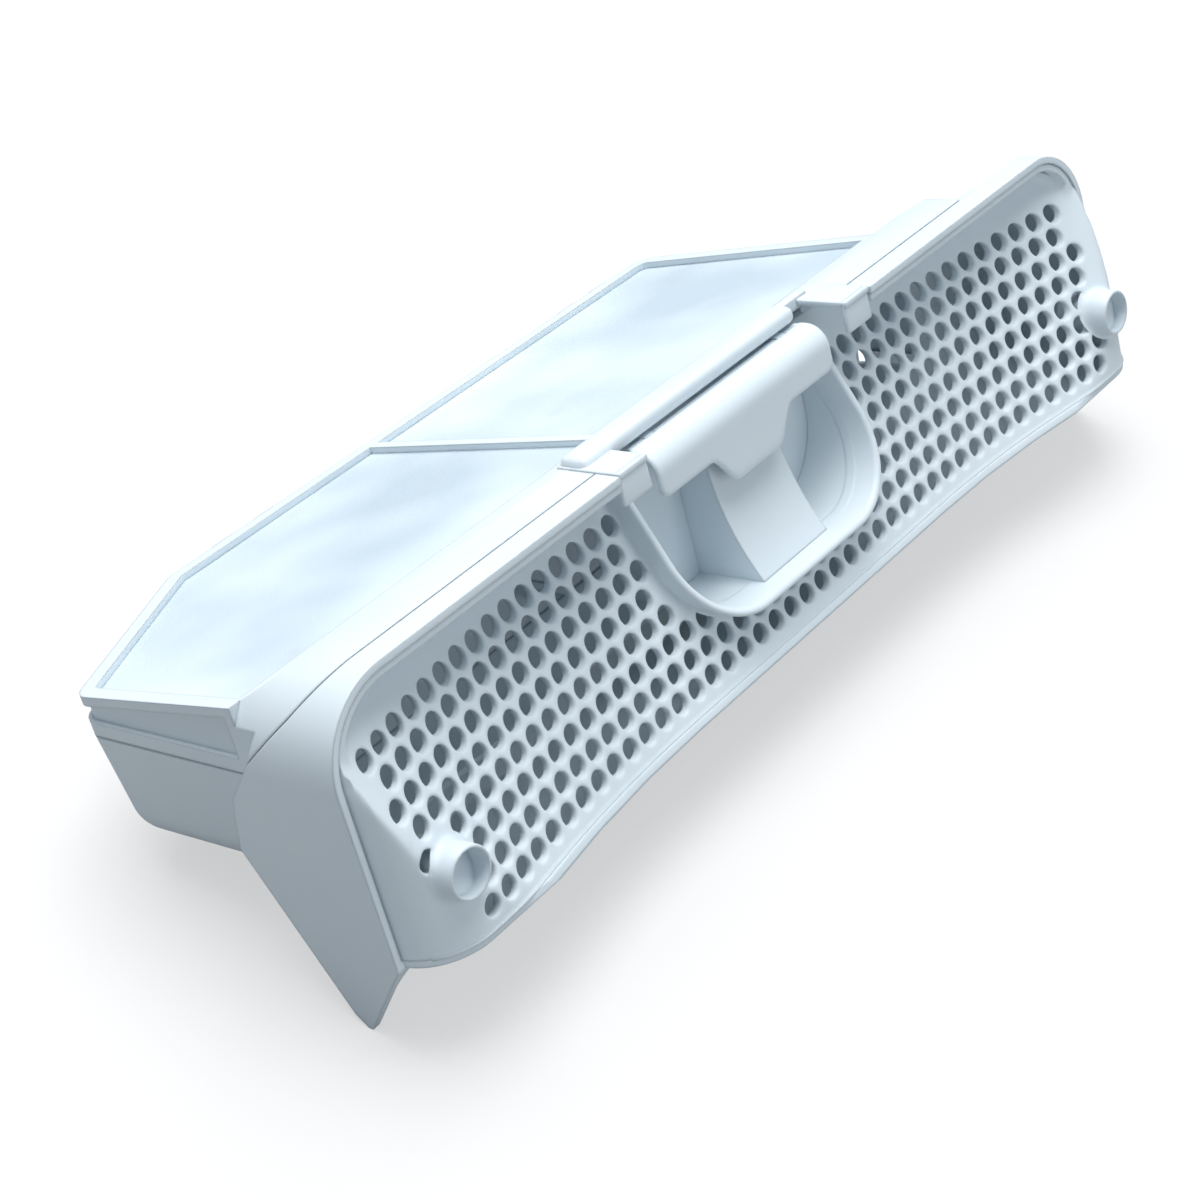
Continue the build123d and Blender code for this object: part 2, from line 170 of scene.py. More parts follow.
# Cloth tones: shade is painted shade for the soft patches, dust is the tone of lint specks.
cloth = dict(color=(0.80, 0.89, 0.94), shade=(0.60, 0.71, 0.79), dust=(0.62, 0.66, 0.70), thread=0.0007,
             cloudScale=16.0, cloudDetail=2.0, cloudFrom=0.32, cloudTo=0.68, dustScale=55.0, dustDetail=6.0,
             dustFrom=0.62, dustTo=0.80, dustShare=0.5, height=0.00006, weaveStrength=0.5,
             roughness=0.8, spread=0.1, cover=0.72, coverSpread=0.12)


# Fine woven filter mesh with soft patches of painted shade, as from its slack folds, and specks of lint dust.
def clothMaterial():
    finish = Finish("filterCloth")
    turn = 2 * math.pi / cloth["thread"]
    across, along = (finish.value("ShaderNodeSeparateXYZ", {}, {"Vector": finish.place()}, axis) * turn
                     for axis in ("X", "Y"))
    # The cloud mixes in the darker shade tone as painted shade, in soft patches such as slack folds would
    # cast.
    cloud = finish.noise(cloth["cloudScale"], cloth["cloudDetail"])
    cloud = finish.span(cloud, cloth["cloudFrom"], cloth["cloudTo"])
    dust = finish.noise(cloth["dustScale"], cloth["dustDetail"])
    dust = finish.span(dust, cloth["dustFrom"], cloth["dustTo"])
    tone = finish.mix(cloud, cloth["shade"], cloth["color"])
    finish.paint("Base Color", finish.mix(dust * cloth["dustShare"], tone, cloth["dust"]))
    finish.paint("Roughness", cloud * cloth["spread"] + cloth["roughness"])
    finish.paint("Alpha", cloud * cloth["coverSpread"] + cloth["cover"])
    weave = across.math("SINE", across) * along.math("SINE", along)
    finish.bump(weave, cloth["height"], cloth["weaveStrength"])
    return finish.material


pin = dict(grainScale=900.0, spread=0.1, roughness=0.3)


def pinMaterial():
    finish = Finish("pinPlastic")
    grain = finish.noise(pin["grainScale"])
    finish.paint("Base Color", finish.mix(grain, plastic["shade"], plastic["color"]))
    finish.paint("Roughness", grain * pin["spread"] + pin["roughness"])
    return finish.material


# Show a mesh in the row frame as one piece that rides on a body.
def addPiece(name, mesh, body, material):
    made = bpy.data.objects.new(name, mesh)
    scene.collection.objects.link(made)
    mesh.materials.clear()
    mesh.materials.append(material)
    for polygon in mesh.polygons:
        polygon.use_smooth = True
    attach(made, body)
    return made


def meshFrom(name, points, faces):
    mesh = bpy.data.meshes.new(name)
    mesh.from_pydata([tuple(point) for point in points], [], [tuple(face) for face in faces])
    return mesh


merging = dict(gap=0.01 * mm, sliver=0.02 * mm, flat=math.radians(1), sharp=math.radians(32),
               sharpRound=math.radians(50), cutterEdge=0.1 * mm)


# Copy of a CAD node's mesh with its loose triangles joined and flat faces made whole.
def mergedCopy(node):
    mesh = frame["nodes"][node].data.copy()
    for layer in [a for a in mesh.attributes if a.name == "custom_normal"]:
        mesh.attributes.remove(layer)
    work = bmesh.new()
    work.from_mesh(mesh)
    bmesh.ops.remove_doubles(work, verts=work.verts, dist=merging["gap"])
    bmesh.ops.dissolve_degenerate(work, dist=merging["sliver"], edges=work.edges)
    bmesh.ops.dissolve_limit(work, angle_limit=merging["flat"], verts=work.verts, edges=work.edges,
                             use_dissolve_boundaries=False)
    work.to_mesh(mesh)
    work.free()
    return mesh


# Meshes as one, with touching points merged and faces turned outward where asked.
def joined(name, meshes, merge=0, outward=True):
    work = bmesh.new()
    for mesh in meshes:
        work.from_mesh(mesh)
    if merge:
        bmesh.ops.remove_doubles(work, verts=work.verts, dist=merge)
    if outward:
        bmesh.ops.recalc_face_normals(work, faces=work.faces)
    made = bpy.data.meshes.new(name)
    work.to_mesh(made)
    work.free()
    return made


# Meshes drawn in the filter's own frame, as one mesh in the row frame.
def inRow(name, meshes):
    made = joined(name, meshes)
    made.transform(slotFrame)
    return made


# A box with all its edges rounded.
def softBlock(x0, x1, y0, y1, z0, z1, radius, segments=3):
    work = bmesh.new()
    bmesh.ops.create_cube(work, size=1)
    middle, size = Vector((x0 + x1, y0 + y1, z0 + z1)) / 2, Vector((x1 - x0, y1 - y0, z1 - z0))
    for vert in work.verts:
        vert.co = middle + vert.co * size
    bmesh.ops.bevel(work, geom=work.edges[:], offset=radius, segments=segments, profile=0.5, affect="EDGES")
    mesh = bpy.data.meshes.new("block")
    work.to_mesh(mesh)
    work.free()
    return mesh


# A closed mesh with upright boxes of the filter's own frame cut out of it.
def withoutBlocks(mesh, cuts):
    target = bpy.data.objects.new("target", mesh)
    cutters = [bpy.data.objects.new("cutter", inRow("cutter", [softBlock(*cut, merging["cutterEdge"], 1)]))
               for cut in cuts]
    for made in (target, *cutters):
        scene.collection.objects.link(made)
    for cutter in cutters:
        modifier = target.modifiers.new("cut", "BOOLEAN")
        modifier.operation, modifier.solver, modifier.object = "DIFFERENCE", "EXACT", cutter
    result = bpy.data.meshes.new_from_object(target.evaluated_get(bpy.context.evaluated_depsgraph_get()))
    for made in (target, *cutters):
        bpy.data.objects.remove(made)
    return result


# A CAD node's copy with some parts cut away, others added, and its own finish.
def dressNode(node, material, cuts=(), extras=()):
    mesh = mergedCopy(node)
    if cuts:
        mesh = withoutBlocks(mesh, cuts)
    if extras:
        mesh = joined(node + "Finish", [mesh, inRow(node + "Extras", extras)], outward=False)
    made = addPiece(node + "Finish", mesh, bodyOf[node], material)
    mesh.set_sharp_from_angle(angle=merging["sharp"])
    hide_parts(node)


grille = dict(halfWidth=167.6 * mm, top=45.8 * mm, bottom=-21.9 * mm, corner=20.6 * mm, band=2.0 * mm,
              rimFront=0.5 * mm, fillet=3.2 * mm, faceY=2.94 * mm, slope=0.412, curve=1.2, flatHalf=60 * mm,
              sweep=340 * mm, cheekRadius=17 * mm, cheekFront=-14 * mm, softness=1.2 * mm, thickness=3.0 * mm,
              wallStep=0.05 * mm, outlineStep=2.4 * mm, turnFineness=1.6, gridStep=2.3 * mm,
              ringGaps=(1.0, 2.0, 2.05, 2.3, 2.8, 3.5, 4.3, 5.3), gridFromHole=0.35 * mm,
              gridFromOutline=6.0 * mm, gridFromOpening=0.8 * mm, weld=0.004 * mm, netTolerance=1e-4)
holes = dict(pitch=7.3 * mm, bore=2.8 * mm, lip=0.55 * mm, sides=16, lipSteps=4, above=4, below=3,
             middle=2.7 * mm, left=159.5 * mm, right=156 * mm, low=148.5 * mm, fromOpening=1.2 * mm,
             inside=0.985, outside=1.02)
collar = dict(halfWidth=46 * mm, bottom=-8 * mm, corner=24 * mm, wall=2.25 * mm, height=7.5 * mm,
              depth=5.0 * mm, pocketInset=2.35 * mm, back=21 * mm, top=41 * mm, foot=0.9 * mm, footSteps=5,
              armSteps=12, arcSteps=22, levelSteps=18, noseSteps=8)
bay = dict(halfWidth=57 * mm, floor=41 * mm, over=2 * mm)


# Angles from nothing to a quarter turn.
def quarterTurn(steps):
    return np.linspace(0, math.pi / 2, steps)


# Points of a circle round the origin.
def ringPoints(radius, sides):
    turns = [2 * math.pi * k / sides for k in range(sides)]
    return [(radius * math.cos(turn), radius * math.sin(turn)) for turn in turns]


# Y of the bare face: leaning, slightly hollow, and swept forward to both ends.
def faceDepth(x, z):
    aside = np.clip(np.abs(x) - grille["flatHalf"], 0, None)
    swept = grille["sweep"] - np.sqrt(grille["sweep"] ** 2 - aside ** 2)
    return grille["faceY"] + grille["slope"] * z + grille["curve"] * z * z - swept


def cheekDepth(x):
    radius = grille["cheekRadius"]
    aside = np.clip(np.abs(x) - (grille["halfWidth"] - radius), 0, radius)
    return grille["cheekFront"] + radius - np.sqrt(radius ** 2 - aside ** 2)


# Distance from the side and top outline, positive inside.
def outlineGap(x, z):
    corner = grille["corner"]
    alongX = np.abs(x) - (grille["halfWidth"] - corner)
    alongZ = z - (grille["top"] - corner)
    beyond = np.hypot(np.clip(alongX, 0, None), np.clip(alongZ, 0, None))
    return corner - beyond - np.clip(np.maximum(alongX, alongZ), None, 0)


# Y of the finished front: bare face, rolled cheeks, and the wall up to the rim with its fillet.
def surfaceDepth(x, z):
    bare, cheek = faceDepth(x, z), cheekDepth(x)
    front = (bare + cheek + np.sqrt((bare - cheek) ** 2 + grille["softness"] ** 2)) / 2
    gap, radius = outlineGap(x, z), grille["fillet"]
    inner = np.clip(gap - grille["band"], 0, radius)
    lift = radius - np.sqrt(radius ** 2 - (radius - inner) ** 2)
    walled = front - np.minimum(lift, np.clip(front - grille["rimFront"], 0, None))
    onBand = gap <= grille["band"] + grille["wallStep"] / 2
    return np.where(onBand, np.minimum(front, grille["rimFront"]), walled)


# Distance outside the handle opening's outline, drawn in by an inset.
def openingGap(x, z, inset):
    aside = np.clip(np.abs(x) - (collar["halfWidth"] - collar["corner"]), 0, None)
    below = np.clip(collar["bottom"] + collar["corner"] - z, 0, None)
    return np.hypot(aside, below) - (collar["corner"] - inset)


# Staggered rows over the whole front, left out at the sockets and the handle opening.
def holeCentres():
    centres = []
    rowPitch = holes["pitch"] * math.sin(math.radians(60))
    columns = int(holes["left"] / holes["pitch"]) + 1
    for row in range(-holes["above"], holes["below"] + 1):
        z = holes["middle"] - rowPitch * row
        aside = holes["pitch"] / 4 * (-1 if row % 2 else 1)
        left, right = (holes["low"], holes["low"]) if z < guide["z"] else (holes["left"], holes["right"])
        for column in range(-columns, columns + 1):
            x = holes["pitch"] * column + aside
            bySocket = math.hypot(abs(x) - guide["x"], z - guide["z"]) < guide["bore"] + guide["wall"]
            if -left < x < right and not bySocket and openingGap(x, z, 0) > holes["fromOpening"]:
                centres.append((x, z))
    return centres


# Points of the side and top outline, drawn in by a gap, from the bottom left to the bottom right.
def outlinePath(gap):
    w, top, corner = grille["halfWidth"] - gap, grille["top"] - gap, grille["corner"] - gap
    low, cz, step = grille["bottom"], top - corner, grille["outlineStep"]
    upright = [(w, z) for z in np.linspace(low, cz, int((cz - low) / step) + 1)[:-1]]
    turnSteps = max(4, int(corner * math.pi / 2 / step * grille["turnFineness"]))
    half = w - corner
    turn = [(half + corner * math.cos(a), cz + corner * math.sin(a)) for a in quarterTurn(turnSteps + 1)]
    level = [(x, top) for x in np.linspace(half, -half, int(2 * half / step) + 1)[1:-1]]
    right = upright + turn
    return [(-x, z) for x, z in right] + level[::-1] + right[::-1]


# The D of the handle opening from its left arm's top to its right arm's top.
def openingPath(inset):
    w, corner = collar["halfWidth"] - inset, collar["corner"] - inset
    cx, cz = w - corner, collar["bottom"] + collar["corner"]
    arm = [(w, z) for z in np.linspace(collar["top"], cz, collar["armSteps"])[:-1]]
    turn = [(cx + corner * math.cos(a), cz - corner * math.sin(a)) for a in quarterTurn(collar["arcSteps"])]
    level = [(x, cz - corner) for x in np.linspace(cx, -cx, collar["levelSteps"])[1:-1]]
    right = arm + turn
    return [(-x, z) for x, z in right] + level[::-1] + right[::-1]


# Distance of each point from the nearest hole's centre.
def fromHoles(points, centre):
    parts = np.array_split(points, 8)
    return np.concatenate([np.hypot(*(part[:, None] - centre).transpose(2, 0, 1)).min(1) for part in parts])


# The front as a flat net of triangles round its holes, in X and Z.
def sheetTriangles(centres, ringRadius):
    points, edges = [], []

    def addLine(line, closed=False):
        start, count = len(points), len(line)
        points.extend(line)
        edges.extend((start + i, start + i + 1) for i in range(count - 1))
        if closed:
            edges.append((start + count - 1, start))

    half, low, inset = grille["halfWidth"], grille["bottom"], collar["wall"]
    bottom = [(x, low) for x in np.linspace(half, -half, int(2 * half / grille["outlineStep"]))]
    addLine(outlinePath(0) + bottom[1:-1], True)
    for gap in grille["ringGaps"]:
        addLine(outlinePath(gap * mm))
    addLine(openingPath(inset))
    for side in (-1, 1):
        arm, end = side * (collar["halfWidth"] - inset), side * bay["halfWidth"]
        addLine([(arm, bay["floor"]), (end, bay["floor"]), (end, grille["top"] + bay["over"])])
    for x, z in centres:
        addLine([(x + dx, z + dz) for dx, dz in ringPoints(ringRadius, holes["sides"])], True)
    centre, step = np.array(centres), grille["gridStep"]
    xs = np.arange(-half, half, step)
    zs = np.arange(low + step / 2, grille["top"], step * math.sin(math.radians(60)))
    grid = np.array([(x + step / 2 * (k % 2), z) for k, z in enumerate(zs) for x in xs])
    x, z = grid.T
    clear = fromHoles(grid, centre) > ringRadius + grille["gridFromHole"]
    clear &= outlineGap(x, z) > grille["gridFromOutline"]
    clear &= openingGap(x, z, inset) > grille["gridFromOpening"]
    clear &= (np.abs(x) > bay["halfWidth"] + mm) | (z < bay["floor"] - mm)
    points.extend(map(tuple, grid[clear]))
    flat, _, faces, *_ = delaunay_2d_cdt([Vector(p) / mm for p in points], edges, [], 0,
                                         grille["netTolerance"])
    flat = np.array([tuple(p) for p in flat]) * mm
    triangles = np.array([tuple(face) for face in faces])
    middle = flat[triangles].mean(1)
    x, z = middle.T
    kept = fromHoles(middle, centre) > holes["inside"] * ringRadius
    kept &= (openingGap(x, z, inset) > 0) & (outlineGap(x, z) > 0)
    kept &= (np.abs(x) >= bay["halfWidth"]) | (z <= bay["floor"])
    return flat, triangles[kept]


# Front and back of the sheet with the outer edge between them, as (x, depth behind the face, z).
def sheetSolid(flat, triangles, centres, ringRadius):
    used, inverse = np.unique(triangles, return_inverse=True)
    flat, triangles = flat[used], inverse.reshape(-1, 3)
    a, b, c = (flat[triangles[:, k]] for k in range(3))
    area = (b[:, 0] - a[:, 0]) * (c[:, 1] - a[:, 1]) - (b[:, 1] - a[:, 1]) * (c[:, 0] - a[:, 0])
    triangles[area < 0] = triangles[area < 0][:, ::-1]
    count = len(flat)
    front = np.column_stack([flat[:, 0], np.zeros(count), flat[:, 1]])
    back = front + (0, grille["thickness"], 0)
    seen = {(face[k], face[(k + 1) % 3]): True for face in triangles for k in range(3)}
    outer = [edge for edge in seen if edge[::-1] not in seen]
    middles = np.array([(flat[start] + flat[end]) / 2 for start, end in outer])
    away = fromHoles(middles, np.array(centres)) > ringRadius * holes["outside"]
    sides = [(start, start + count, end + count, end) for (start, end), far in zip(outer, away) if far]
    faces = [tuple(face) for face in triangles] + [tuple(face[::-1] + count) for face in triangles]
    return np.vstack([front, back]), faces + sides


# Four-sided faces between rings of points that follow each other.
def sweepFaces(rings, around, closedPath=False, closedRing=False):
    faces = []
    for row in range(rings if closedPath else rings - 1):
        here, there = row * around, (row + 1) % rings * around
        for k in range(around if closedRing else around - 1):
            following = (k + 1) % around
            faces.append((here + k, here + following, there + following, there + k))
    return faces


def endFaces(rings, around):
    return [tuple(range(around)), tuple(range((rings - 1) * around, rings * around))]


# One hole of unit radius: rounded lips in front and behind, and the bore between them.
def sleeveTemplate():
    lip, deep = holes["lip"] / holes["bore"], grille["thickness"] / holes["bore"]
    profile = [(1 + lip * (1 - math.sin(a)), lip * (1 - math.cos(a))) for a in quarterTurn(holes["lipSteps"])]
    profile += [(1, deep - lip), (1 + lip, deep)]
    points = [(x, y, z) for r, y in profile for x, z in ringPoints(r, holes["sides"])]
    return meshFrom("sleeve", points, sweepFaces(len(profile), holes["sides"], closedRing=True))


# All sleeves, instanced on the hole centres by a node tree, as one plain mesh.
def perforations(centres, material):
    template = bpy.data.objects.new("sleeve", sleeveTemplate())
    carrier = bpy.data.objects.new("holes", meshFrom("holes", [(x, 0, z) for x, z in centres], []))
    for made in (template, carrier):
        scene.collection.objects.link(made)
    group = bpy.data.node_groups.new("perforations", "GeometryNodeTree")
    group.interface.new_socket("Geometry", in_out="INPUT", socket_type="NodeSocketGeometry")
    kinds = {"Sleeve": "Object", "Hole Radius": "Float", "Finish": "Material"}
    inputs = {name: group.interface.new_socket(name, in_out="INPUT", socket_type="NodeSocket" + kind)
              for name, kind in kinds.items()}
    group.interface.new_socket("Geometry", in_out="OUTPUT", socket_type="NodeSocketGeometry")
    tree = Tree(group)
    source = tree.nodes.new("NodeGroupInput").outputs
    sleeve = tree.node("GeometryNodeObjectInfo", {}, {"Object": source["Sleeve"]}, "Geometry")
    placed = tree.node("GeometryNodeInstanceOnPoints", {}, {
        "Points": source["Geometry"], "Instance": sleeve, "Scale": source["Hole Radius"]})
    real = tree.node("GeometryNodeRealizeInstances", {}, {"Geometry": placed})
    shown = tree.node("GeometryNodeSetMaterial", {}, {"Geometry": real, "Material": source["Finish"]})
    tree.node("NodeGroupOutput", {}, {"Geometry": shown})
    modifier = carrier.modifiers.new("perforations", "NODES")
    modifier.node_group = group
    for name, value in {"Sleeve": template, "Hole Radius": holes["bore"], "Finish": material}.items():
        modifier[inputs[name].identifier] = value
    mesh = bpy.data.meshes.new_from_object(carrier.evaluated_get(bpy.context.evaluated_depsgraph_get()))
    carrier.modifiers.clear()
    for made in (carrier, template):
        bpy.data.objects.remove(made)
    return mesh


# The proud D round the handle opening: foot fillet, outer wall, round nose, and an inner wall back
# to the finger well.
def collarMesh():
    half, height, foot = collar["wall"] / 2, collar["height"], collar["foot"]
    section = [(foot * (1 - math.sin(a)), -foot * (1 - math.cos(a)))
               for a in quarterTurn(collar["footSteps"])]
    section += [(-half + half * math.cos(a), -(height - half) - half * math.sin(a))
                for a in np.linspace(0, math.pi, collar["noseSteps"] + 1)]
    section.append((-collar["pocketInset"], collar["depth"]))
    points = []
    for row in zip(*(openingPath(-offset) for offset, _ in section)):
        for (x, z), (_, depth) in zip(row, section):
            y = float(faceDepth(x, z)) + depth
            points.append((x, max(y, collar["back"]) if depth > 0 else y, z))
    rings, around = len(points) // len(section), len(section)
    return meshFrom("collar", points, sweepFaces(rings, around) + endFaces(rings, around))


# A guide socket: foot fillet on the face, outer wall, rounded mouth and bore.
def socketMesh(side):
    bore, outer, nose, mouthY = guide["bore"], guide["bore"] + guide["wall"], guide["nose"], guide["front"]
    outward, inward = guide["noseOut"] * nose, guide["noseIn"] * nose
    mouth = [(outer, mouthY + nose), (outer - outward, mouthY + outward), (outer - nose, mouthY),
             (bore + inward, mouthY + inward), (bore, mouthY + nose), (bore, guide["back"])]
    points = []
    for c, s in ringPoints(1, guide["segments"]):
        for a in quarterTurn(guide["footSteps"]):
            radius = outer + guide["flare"] * (1 - math.sin(a))
            x, z = side * guide["x"] + radius * c, guide["z"] + radius * s
            points.append((x, float(surfaceDepth(x, z)) - guide["foot"] * (1 - math.cos(a)), z))
        points += [(side * guide["x"] + r * c, y, guide["z"] + r * s) for r, y in mouth]
    around = guide["footSteps"] + len(mouth)
    return meshFrom("socket", points, sweepFaces(guide["segments"], around, closedPath=True))


bead = dict(radius=0.55 * mm, steps=6, count=150, inset=3.0 * mm)


# Thin rounded bead along the bottom edge of the front.
def beadMesh():
    half, low = grille["halfWidth"] - bead["inset"], grille["bottom"]
    points = [(x, float(surfaceDepth(x, low)) + dy, low + dz) for x in np.linspace(-half, half, bead["count"])
              for dy, dz in ringPoints(bead["radius"], bead["steps"])]
    faces = sweepFaces(bead["count"], bead["steps"], closedRing=True) + endFaces(bead["count"], bead["steps"])
    return meshFrom("bead", points, faces)


# The net and its holes are made flat, then every point moves back onto the finished front.
def buildGrille(material):
    centres, ringRadius = holeCentres(), holes["bore"] + holes["lip"]
    flat, triangles = sheetTriangles(centres, ringRadius)
    sheet = meshFrom("sheet", *sheetSolid(flat, triangles, centres, ringRadius))
    net = joined("net", [sheet, perforations(centres, material)], merge=grille["weld"])
    places = np.empty(len(net.vertices) * 3)
    net.vertices.foreach_get("co", places)
    places = places.reshape(-1, 3)
    places[:, 1] += surfaceDepth(places[:, 0], places[:, 2])
    net.vertices.foreach_set("co", places.ravel())
    parts = [inRow("moulding", [part]) for part in (collarMesh(), socketMesh(-1), socketMesh(1), beadMesh())]
    net.transform(slotFrame)
    mesh = joined("grillePanelFinish", [net, *parts], outward=False)
    made = addPiece("grillePanelFinish", mesh, "housing", material)
    mesh.set_sharp_from_angle(angle=merging["sharpRound"])
    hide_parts("grille_panel")
    triangleCount = sum(len(polygon.vertices) - 2 for polygon in mesh.polygons)
    print("grille made, triangles", triangleCount, "holes", len(centres), flush=True)


flap = dict(half=39.5 * mm, back=12.2 * mm, top=45 * mm, front=3.7 * mm, bend=6.5 * mm, low=31.4 * mm,
            thickness=2.0 * mm, tabHalf=18.5 * mm, tabSlope=9.5 * mm, tabDepth=9.4 * mm, corner=3.2 * mm,
            columnStep=1.1 * mm, edgeSteps=5, edgeShare=0.02, backSteps=4, bendSteps=10, downSteps=9,
            capSteps=6, axisY=13.0 * mm, axisZ=41.2 * mm, barrel=3.7 * mm, barrelSides=28,
            lugX=30 * mm, lugHalf=2.35 * mm)


# Height of the flap's lower edge: level, with the tab's S-curves in the middle and round corners.
def flapLow(x):
    t = max(0.0, min(1.0, (flap["tabHalf"] - abs(x)) / flap["tabSlope"]))
    low = flap["low"] - flap["tabDepth"] * t * t * (3 - 2 * t)
    past = max(0.0, abs(x) - (flap["half"] - flap["corner"]))
    return low + flap["corner"] - math.sqrt(max(flap["corner"] ** 2 - past ** 2, 0.0))


# Side line halfway through the plate at one X, from its back to its lower edge, with its normals.
def flapMiddle(x):
    half = flap["thickness"] / 2
    radius = flap["bend"] - half
    cy, cz = flap["front"] + flap["bend"], flap["top"] - flap["bend"]
    line = [((y, cz + radius), (0, 1)) for y in np.linspace(flap["back"], cy, flap["backSteps"])[:-1]]
    line += [((cy - radius * math.sin(a), cz + radius * math.cos(a)), (-math.sin(a), math.cos(a)))
             for a in quarterTurn(flap["bendSteps"])]
    down = np.linspace(cz, flapLow(x) + half, flap["downSteps"])[1:]
    return line + [((cy - radius, z), (-1, 0)) for z in down]


def flapMesh():
    half, thickness = flap["half"], flap["thickness"] / 2
    ends = [thickness * (1 - math.cos(a)) for a in quarterTurn(flap["edgeSteps"])][:-1]
    inner = np.linspace(-half + thickness, half - thickness, int(2 * half / flap["columnStep"]))
    columns = [(e - half, math.sqrt(max(thickness ** 2 - (thickness - e) ** 2, 0)) / thickness) for e in ends]
    columns += [(x, 1.0) for x in inner] + [(-x, share) for x, share in columns[::-1]]
    points = []
    for x, share in columns:
        line, thick = flapMiddle(x), thickness * max(share, flap["edgeShare"])
        section = [(y + ny * thick, z + nz * thick) for (y, z), (ny, nz) in line]
        (y, z), (ny, _) = line[-1]
        section += [(y + ny * thick * math.cos(a), z - thick * math.sin(a))
                    for a in np.linspace(0, math.pi, flap["capSteps"])[1:-1]]
        section += [(y - ny * thick, z - nz * thick) for (y, z), (ny, nz) in line[::-1]]
        points += [(x, y, z) for y, z in section]
    rings, around = len(columns), len(section)
    return meshFrom("flap", points, sweepFaces(rings, around, closedRing=True) + endFaces(rings, around))


# A closed cylinder along X round the flap's axis.
def barrelMesh(start, end):
    ring = ringPoints(flap["barrel"], flap["barrelSides"])
    points = [(x, flap["axisY"] + dy, flap["axisZ"] + dz) for x in (start, end) for dy, dz in ring]
    around = flap["barrelSides"]
    return meshFrom("barrel", points, sweepFaces(2, around, closedRing=True) + endFaces(2, around))


def buildFlap(material):
    inner, outer, end = flap["lugX"] - flap["lugHalf"], flap["lugX"] + flap["lugHalf"], flap["half"] - mm
    barrels = [barrelMesh(*span) for span in ((-end, -outer), (-inner, inner), (outer, end))]
    mesh = inRow("latchFlapFinish", [flapMesh(), *barrels])
    made = addPiece("latchFlapFinish", mesh, "flap", material)
    mesh.set_sharp_from_angle(angle=merging["sharpRound"])
    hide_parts("latch_flap")


bar = dict(left=-56 * mm, right=38 * mm, front=12.3 * mm, back=21.3 * mm, low=45.9 * mm, top=50.6 * mm,
           radius=1.9 * mm)
hook = dict(inner=45.2 * mm, outer=56.8 * mm, front=0.9 * mm, low=39.0 * mm, top=48.5 * mm,
            overhang=0.5 * mm, plate=1.6 * mm, radius=0.7 * mm, topRadius=0.28 * mm, cutInner=44.2 * mm,
            cutOuter=56.9 * mm, cutFront=5 * mm, cutBack=16.9 * mm, cutLow=37 * mm, cutTop=50 * mm)


# Room that is cleared for the hooks on both sides of the flap.
def hookCuts():
    room = (hook["cutFront"], hook["cutBack"], hook["cutLow"], hook["cutTop"])
    return [(-hook["cutOuter"], -hook["cutInner"], *room), (hook["cutInner"], hook["cutOuter"], *room)]


# Bar over the flap's hinge, and a thin bent hook at each end of it.
def lidExtras():
    parts = [softBlock(*(bar[key] for key in ("left", "right", "front", "back", "low", "top", "radius")))]
    front, top, plate = hook["front"], hook["top"], hook["plate"]
    for x0, x1 in ((-hook["outer"], -hook["inner"]), (hook["inner"], hook["outer"])):
        parts.append(softBlock(x0, x1, front, front + plate, hook["low"], top, hook["radius"]))
        parts.append(softBlock(x0, x1, front - hook["overhang"], bar["back"], top - plate, top,
                               hook["topRadius"]))
    return parts


clothSheet = dict(step=3.0 * mm, fromEdge=1.2 * mm, edge=9.0 * mm, sag=0.45 * mm, sagMean=0.5, sagSpread=0.3,
                  waveLong=46 * mm, waveShort=19 * mm, secondWave=0.6, thickness=0.3 * mm, upward=0.8,
                  netTolerance=1e-4)


# Corners of a CAD sheet's upper face, in order, in the filter's own frame.
def clothOutline(node):
    work = bmesh.new()
    work.from_mesh(mergedCopy(node))
    work.transform(intoSlot)
    work.normal_update()
    upper = (face for face in work.faces if face.normal.z > clothSheet["upward"])
    top = max(upper, key=lambda face: face.calc_area())
    outline, normal = [vert.co.copy() for vert in top.verts], top.normal.copy()
    work.free()
    return outline, normal


